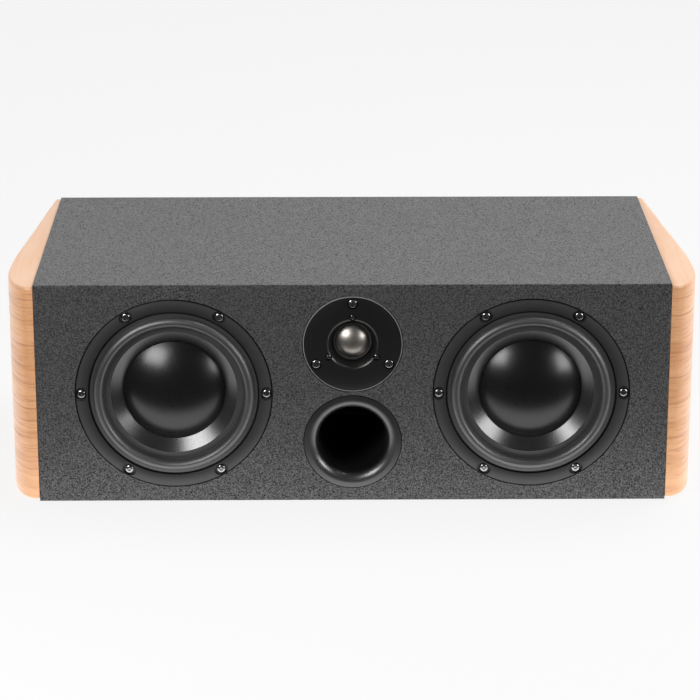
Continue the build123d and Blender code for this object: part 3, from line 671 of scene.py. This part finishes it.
def addScrew(bm, axis, look):
    # one screw, with the underside of its head at the depth of its seat
    seat = look["seat"]
    head = look["head"]
    height = look["height"]
    socket = head * screwForm["socket"]
    floor = seat - height * screwForm["floor"]
    tip = seat + look["length"] - height
    outline = [(0.0, floor), (socket, floor), (socket, seat - height)]
    for a in (math.radians(step) for step in screwForm["crownTurns"]):
        fall = height * screwForm["crown"] * (1 - math.cos(a))
        outline.append((socket + (head - socket) * math.sin(a), seat - height + fall))
    outline += [(head, seat), (look["shank"], seat), (look["shank"], tip), (0.0, tip)]
    turn(bm, axis, outline, screwForm["steps"], closed=False)
    side = math.radians(60)
    for v in bm.verts:
        across, up = v.co.x - axis.x, v.co.z - axis.z
        if abs(math.hypot(across, up) - socket * mm) < touch:
            # draws the socket's round walls in to a hexagon
            bend = math.atan2(up, across) % side - side / 2
            shrink = math.cos(side / 2) / math.cos(bend)
            v.co.x = axis.x + across * shrink
            v.co.z = axis.z + up * shrink


def makeScrews(name, node, centres, look):
    bm = bmesh.new()
    for centre in centres:
        for i in range(look["count"]):
            angle = math.radians(look["first"] + 360 / look["count"] * i)
            out = Vector((math.cos(angle), 0, math.sin(angle)))
            addScrew(bm, Vector((centre.x, 0, centre.z)) + out * look["circle"] * mm, look)
    finishPiece(name, bm, node, sharp=screwForm["sharp"])


makeScrews("wooferScrews", "woofer_screws", wooferAxes.values(), wooferScrew)
makeScrews("tweeterMountingScrews", "tweeter_mounting_screws", [tweeterAxis], mountingScrew)
makeScrews("tweeterRimScrews", "tweeter_rim_screws", [tweeterAxis], rimScrew)
print("screws done")


# tweeter and port

tweeter = dict(
    steps=128, domeRadius=15.3, domeBase=9.6, domeApex=3.2, domeSkin=0.4, domeSteps=24, sharp=50.0,
    rollInner=15.35, rollOuter=18.5, rollSteps=14, crest=9.3, seat=10.8, plate=11.2, edge=22.95,
)


def makeTweeterDome():
    t = tweeter
    outline = domeOutline(t["domeRadius"], t["domeBase"], t["domeApex"], t["domeSkin"], t["domeSteps"])
    bm = bmesh.new()
    turn(bm, tweeterAxis, outline, t["steps"], closed=False)
    finishPiece("tweeterDome", bm, "tweeter_dome", "tweeter_diaphragm", sharp=t["sharp"])


def makeTweeterRoll():
    t = tweeter
    skin = t["domeSkin"]
    inner = t["rollInner"]
    outer = t["rollOuter"]
    crest = ((inner + outer) / 2, t["crest"])
    crestUnder = (crest[0], t["crest"] + skin)
    top = arcThrough((outer, t["seat"]), crest, (inner, t["seat"]), t["rollSteps"])
    under = arcThrough((outer - skin, t["plate"]), crestUnder, (inner + skin, t["plate"]), t["rollSteps"])
    outline = [(t["edge"], t["seat"])] + top + [(inner, t["plate"])]
    outline += under[::-1] + [(t["edge"], t["plate"])]
    bm = bmesh.new()
    turn(bm, tweeterAxis, outline, t["steps"])
    piece = finishPiece("tweeterRoll", bm, "tweeter_surround", sharp=t["sharp"], rides=False)
    bendRoll(piece, inner + 2 * skin, outer)


port = dict(
    steps=144, lip=44.8, land=3.6, flare=9.5, flareSteps=24, wall=2.5, seat=3.5, seatSteps=12,
    length=150.0, sharp=40.0,
)


def makePort():
    p = port
    mouth = p["lip"] - p["land"]
    throat = mouth - p["flare"]
    outer = throat + p["wall"]
    back = p["lip"] - p["seat"] - outer
    outline = [(p["lip"], 0.0)] + arc((mouth, p["flare"]), p["flare"], 270, 180, p["flareSteps"])
    outline += [(throat, p["length"]), (outer, p["length"])]
    outline += arc((p["lip"] - p["seat"], p["wall"] + back), back, 180, 270, p["seatSteps"])
    outline += [(p["lip"], p["wall"])]
    bm = bmesh.new()
    turn(bm, portAxis, outline, p["steps"])
    finishPiece("portTube", bm, "port_tube", sharp=p["sharp"])


makeTweeterDome()
makeTweeterRoll()
makePort()
print("tweeter and port done")


# turned and moulded pieces keep their CAD form, with their round faces shaded smooth

rims = dict(
    wooferOuter=(90.0, 0.4), wooferLip=(78.4, 0.5), tweeterOuter=(45.5, 0.8),  # radius and rounding
    radiusSlack=0.05, frontSlack=0.02, leastAngle=1.0, segments=2,  # the angle in radians
    sharp=30.0,
)


def copyOf(node):
    # corners and faces only, so that no stored normals come along
    source = nodes[node].data
    bm = bmesh.new()
    verts = [bm.verts.new(v.co) for v in source.vertices]
    for face in source.polygons:
        bm.faces.new([verts[i] for i in face.vertices])
    bmesh.ops.remove_doubles(bm, verts=bm.verts, dist=touch)
    bmesh.ops.recalc_face_normals(bm, faces=bm.faces)
    return bm


def softenCircle(bm, axis, radius, width):
    # rounds the front rim of a turned piece
    def onRim(v):
        reach = math.hypot(v.co.x - axis.x, v.co.z - axis.z)
        near = abs(reach - radius * mm) < rims["radiusSlack"] * mm
        return near and abs(v.co.y - frontY) < rims["frontSlack"] * mm

    edges = [e for e in bm.edges if all(onRim(v) for v in e.verts)]
    sharp = [e for e in edges if e.calc_face_angle(0) > rims["leastAngle"]]
    roundEdges(bm, sharp, width, rims["segments"])


def smoothCopy(node, body="root", axis=None, circles=()):
    bm = copyOf(node)
    for circle in circles:
        softenCircle(bm, axis, *rims[circle])
    finishPiece(node.replace("_", "."), bm, node, body, rims["sharp"])


for side, axis in wooferAxes.items():
    smoothCopy(f"woofer_{side}_frame", axis=axis, circles=("wooferOuter", "wooferLip"))
smoothCopy("tweeter_faceplate", axis=tweeterAxis, circles=("tweeterOuter",))
smoothCopy("terminal_cup")
smoothCopy("terminal_cup_screws")
for colour in ("red", "black"):
    smoothCopy(f"binding_post_{colour}")
    smoothCopy(f"post_collar_{colour}", f"collar_{colour}")
    smoothCopy(f"post_knob_{colour}", f"knob_{colour}")
print("smooth copies done")


# floor, light and camera

ground = dict(
    size=16.0, squares=8, drop=0.0004,
    openGlow=0.85, lit=0.085,  # what the camera sees
    bounce=0.45, glow=1.5, sideGlow=0.3, fadeFrom=0.28, fadeTo=0.5,  # what lights the part from below
    mirror=1.65,  # what glossy faces mirror
    dark=0.03, nearEdge=-0.22, farEdge=-0.27,  # the table's front edge, and the dark beyond it
)


def paleFloor():
    g = ground
    material = bpy.data.materials.new("paleFloor")
    material.use_nodes = True
    tree = material.node_tree
    tree.nodes.clear()

    def matt(tone):
        return addNode(tree, "ShaderNodeBsdfDiffuse", Color=(*grey(tone), 1))

    def glowing(strength):
        node = addNode(tree, "ShaderNodeEmission", Color=(*grey(1.0), 1))
        feed(tree, strength, node.inputs["Strength"])
        return node

    def together(first, second):
        node = addNode(tree, "ShaderNodeAddShader")
        wire(tree, first, node, 0, 0)
        wire(tree, second, node, 0, 1)
        return node

    def either(ray, first, second):
        node = addNode(tree, "ShaderNodeMixShader")
        tree.links.new(ray, node.inputs[0])
        wire(tree, first, node, 0, 1)
        wire(tree, second, node, 0, 2)
        return node

    path = addNode(tree, "ShaderNodeLightPath")
    seen = addNode(tree, "ShaderNodeMath", operation="MAXIMUM")
    wire(tree, path, seen, "Is Camera Ray", 0)
    wire(tree, path, seen, "Is Transmission Ray", 1)
    # the pale table ends in front of the object, and the studio beyond it is dark
    place = addNode(tree, "ShaderNodeTexCoord")
    axes = addNode(tree, "ShaderNodeSeparateXYZ")
    wire(tree, place, axes, "Object", 0)
    reach = addNode(
        tree, "ShaderNodeMapRange", From_Min=g["farEdge"], From_Max=g["nearEdge"], To_Min=g["dark"],
    )
    wire(tree, axes, reach, "Y", "Value")
    aside = addNode(tree, "ShaderNodeMath", operation="ABSOLUTE")
    wire(tree, axes, aside, "X", 0)
    fade = addNode(
        tree, "ShaderNodeMapRange", From_Min=g["fadeFrom"], From_Max=g["fadeTo"],
        To_Min=g["glow"], To_Max=g["sideGlow"],
    )
    wire(tree, aside, fade, 0, "Value")
    shown = together(matt(g["lit"]), glowing(g["openGlow"]))
    spread = together(matt(g["bounce"]), glowing(product(tree, reach.outputs[0], fade.outputs[0])))
    mirrored = glowing(product(tree, reach.outputs[0], g["mirror"]))
    other = either(path.outputs["Is Glossy Ray"], spread, mirrored)
    out = addNode(tree, "ShaderNodeOutputMaterial")
    wire(tree, either(seen.outputs[0], other, shown), out, 0, "Surface")
    return material


def makeFloor():
    bm = bmesh.new()
    squares = ground["squares"]
    bmesh.ops.create_grid(bm, x_segments=squares, y_segments=squares, size=ground["size"] / 2)
    mesh = bpy.data.meshes.new("floor")
    bm.to_mesh(mesh)
    bm.free()
    mesh.materials.append(paleFloor())
    floor = bpy.data.objects.new("floor", mesh)
    floor.location.z = cadBox[0].z - ground["drop"]
    scene.collection.objects.link(floor)


sky = dict(front=0.08, back=1.55, riseFrom=-0.1, riseTo=0.65, white=1.0)


def makeWorld():
    world = bpy.data.worlds.new("studio")
    scene.world = world
    world.use_nodes = True
    tree = world.node_tree
    tree.nodes.clear()
    path = addNode(tree, "ShaderNodeLightPath")
    place = addNode(tree, "ShaderNodeTexCoord")
    axes = addNode(tree, "ShaderNodeSeparateXYZ")
    wire(tree, place, axes, "Generated", 0)
    # the light comes from behind, and the studio in front is dark
    reach = addNode(
        tree, "ShaderNodeMapRange", From_Min=sky["riseFrom"], From_Max=sky["riseTo"],
        To_Min=sky["front"], To_Max=sky["back"],
    )
    wire(tree, axes, reach, "Y", "Value")
    studio = addNode(tree, "ShaderNodeBackground")
    wire(tree, reach, studio, 0, "Strength")
    plain = addNode(tree, "ShaderNodeBackground", Color=(*grey(1.0), 1), Strength=sky["white"])
    mix = addNode(tree, "ShaderNodeMixShader")
    wire(tree, path, mix, "Is Camera Ray", 0)
    wire(tree, studio, mix, 0, 1)
    wire(tree, plain, mix, 0, 2)
    out = addNode(tree, "ShaderNodeOutputWorld")
    wire(tree, mix, out, 0, "Surface")


lamps = {
    "softboxLeft": dict(place=(-0.62, -0.86, 0.68), aim=(-0.1, -0.15, 0.1), wide=0.48, tall=0.40, power=6.8),
    "softboxRight": dict(place=(1.19, -0.82, 0.55), aim=(0.1, -0.15, 0.1), wide=0.64, tall=0.50, power=8.0),
    "overhead": dict(place=(1.0, 0.4, 2.2), aim=(0.05, 0.0, 0.1), wide=1.6, tall=1.2, power=38.0),
}


def makeLamps():
    for name, look in lamps.items():
        light = bpy.data.lights.new(name, "AREA")
        light.shape = "RECTANGLE"
        light.size = look["wide"]
        light.size_y = look["tall"]
        light.energy = look["power"]
        lamp = bpy.data.objects.new(name, light)
        lamp.location = look["place"]
        toward = Vector(look["aim"]) - Vector(look["place"])
        lamp.rotation_euler = toward.to_track_quat("-Z", "Y").to_euler()
        scene.collection.objects.link(lamp)


view = dict(place=(-0.0263, -2.6229, 0.9574), pitch=18.168, turn=0.554, lens=146.5, sensor=36.0, far=60.0)


def makeCamera():
    data = bpy.data.cameras.new("photoView")
    data.lens = view["lens"]
    data.sensor_width = view["sensor"]
    data.clip_end = view["far"]
    camera = bpy.data.objects.new("photoView", data)
    camera.location = view["place"]
    camera.rotation_euler = (math.radians(90 - view["pitch"]), 0, math.radians(-view["turn"]))
    scene.collection.objects.link(camera)
    scene.camera = camera


makeFloor()
makeWorld()
makeLamps()
makeCamera()
scene.view_settings.view_transform = "Standard"
print("stage done")
